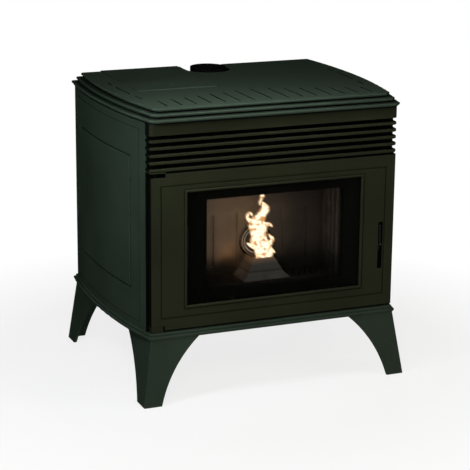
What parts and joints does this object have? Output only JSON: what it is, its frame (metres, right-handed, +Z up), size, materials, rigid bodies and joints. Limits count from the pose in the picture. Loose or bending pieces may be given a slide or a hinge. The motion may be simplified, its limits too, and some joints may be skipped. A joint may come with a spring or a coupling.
{
  "type": "pellet stove",
  "caption": "Freestanding pellet stove with a hinged glass door, louvred warm-air front, stepped top with a hopper lid, bulged sides and splayed legs.",
  "frame": {"origin": "on the floor, under the centre of the bounding box", "axes": "+Z up, the door and louvres face -Y, the flue spigot points +Z"},
  "size_m": [0.7804, 0.64, 0.7826],
  "materials": {
    "green_enamel": "satin enamel on cast iron",
    "front_enamel": "satin enamel on cast iron",
    "black_steel": "matt heat-resistant paint",
    "cast_hearth": "raw cast",
    "fire_lining": "fire-worn casting",
    "plated_steel": "plated",
    "galvanised": "galvanised sheet",
    "motor_black": "painted",
    "rope_seal": "braided rope",
    "fire_glass": "clear ceramic pane",
    "border_black": "fired black border",
    "black_plastic": "moulded",
    "rocker_plastic": "moulded"
  },
  "bodies": {
    "cabinet": {"base_plate": "green_enamel", "leg_front_left": "green_enamel", "leg_front_right": "green_enamel", "leg_rear_left": "green_enamel", "leg_rear_right": "green_enamel", "side_panel_left": "green_enamel", "side_panel_right": "green_enamel", "top_plate": "green_enamel", "fascia": "front_enamel", "louvre_1": "front_enamel", "louvre_2": "front_enamel", "louvre_3": "front_enamel", "louvre_4": "front_enamel", "louvre_5": "front_enamel", "hinge_lug_top": "front_enamel", "hinge_block_bottom": "front_enamel", "front_frame": "front_enamel", "louvre_uprights": "black_steel", "latch_keeper": "black_steel", "firebox_shell": "black_steel", "rear_panel": "black_steel", "flue_pipe": "black_steel", "control_box": "black_steel", "air_baffle": "black_steel", "chute_ring": "black_steel", "door_hinge_pins": "black_steel", "hearth_plate": "cast_hearth", "fire_back": "fire_lining", "liner_left": "fire_lining", "liner_right": "fire_lining", "chute_collar": "fire_lining", "lid_hinge_rod": "plated_steel", "rear_screws": "plated_steel", "igniter": "plated_steel", "pellet_hopper": "galvanised", "auger_tube": "galvanised", "pellet_chute": "galvanised", "smoke_fan_housing": "galvanised", "smoke_duct": "galvanised", "blower_housing": "galvanised", "air_intake_pipe": "galvanised", "auger_gearmotor": "motor_black", "smoke_fan_motor": "motor_black", "blower_motor": "motor_black", "hopper_gasket": "rope_seal", "power_inlet": "black_plastic"},
    "door": {"door_frame": "front_enamel", "door_glass": "fire_glass", "glass_border": "border_black", "glass_clips": "plated_steel", "door_gasket": "rope_seal", "handle_pivot": "plated_steel"},
    "handle": {"door_handle": "plated_steel"},
    "lid": {"hopper_lid": "green_enamel"},
    "auger": {"auger_screw": "galvanised"},
    "smoke_fan": {"smoke_impeller": "galvanised"},
    "blower": {"blower_wheel": "galvanised"},
    "burner": {"burner_pot": "cast_hearth"},
    "ash_drawer": {"ash_pan": "cast_hearth"},
    "rocker": {"power_rocker": "rocker_plastic"}
  },
  "joints": [
    {"name": "door_hinge", "type": "hinge", "parent": "cabinet", "child": "door", "pos_m": [-0.331, -0.282, 0.403], "axis": [0, 0, -1], "range_deg": [0, 110]},
    {"name": "handle_pivot", "type": "hinge", "parent": "door", "child": "handle", "pos_m": [0.308, -0.281, 0.363], "axis": [1, 0, 0], "range_deg": [0, 35]},
    {"name": "lid_hinge", "type": "hinge", "parent": "cabinet", "child": "lid", "pos_m": [-0.176, 0.2705, 0.7661], "axis": [-1, 0, 0], "range_deg": [0, 80]},
    {"name": "auger_spin", "type": "hinge", "parent": "cabinet", "child": "auger", "pos_m": [-0.226, 0, 0.3], "axis": [0.7071, 0, 0.7071], "continuous": true},
    {"name": "smoke_fan_spin", "type": "hinge", "parent": "cabinet", "child": "smoke_fan", "pos_m": [0, 0.156, 0.3], "axis": [1, 0, 0], "continuous": true},
    {"name": "blower_spin", "type": "hinge", "parent": "cabinet", "child": "blower", "pos_m": [0.2, 0.16, 0.252], "axis": [1, 0, 0], "continuous": true},
    {"name": "burner_lift", "type": "slide", "parent": "cabinet", "child": "burner", "axis": [0, 0, 1], "range_m": [0, 0.04]},
    {"name": "ash_pan_slide", "type": "slide", "parent": "cabinet", "child": "ash_drawer", "axis": [0, -1, 0], "range_m": [0, 0.018]},
    {"name": "rocker_tilt", "type": "hinge", "parent": "cabinet", "child": "rocker", "pos_m": [-0.28, 0.295, 0.268], "axis": [1, 0, 0], "range_deg": [0, 16]}
  ]
}
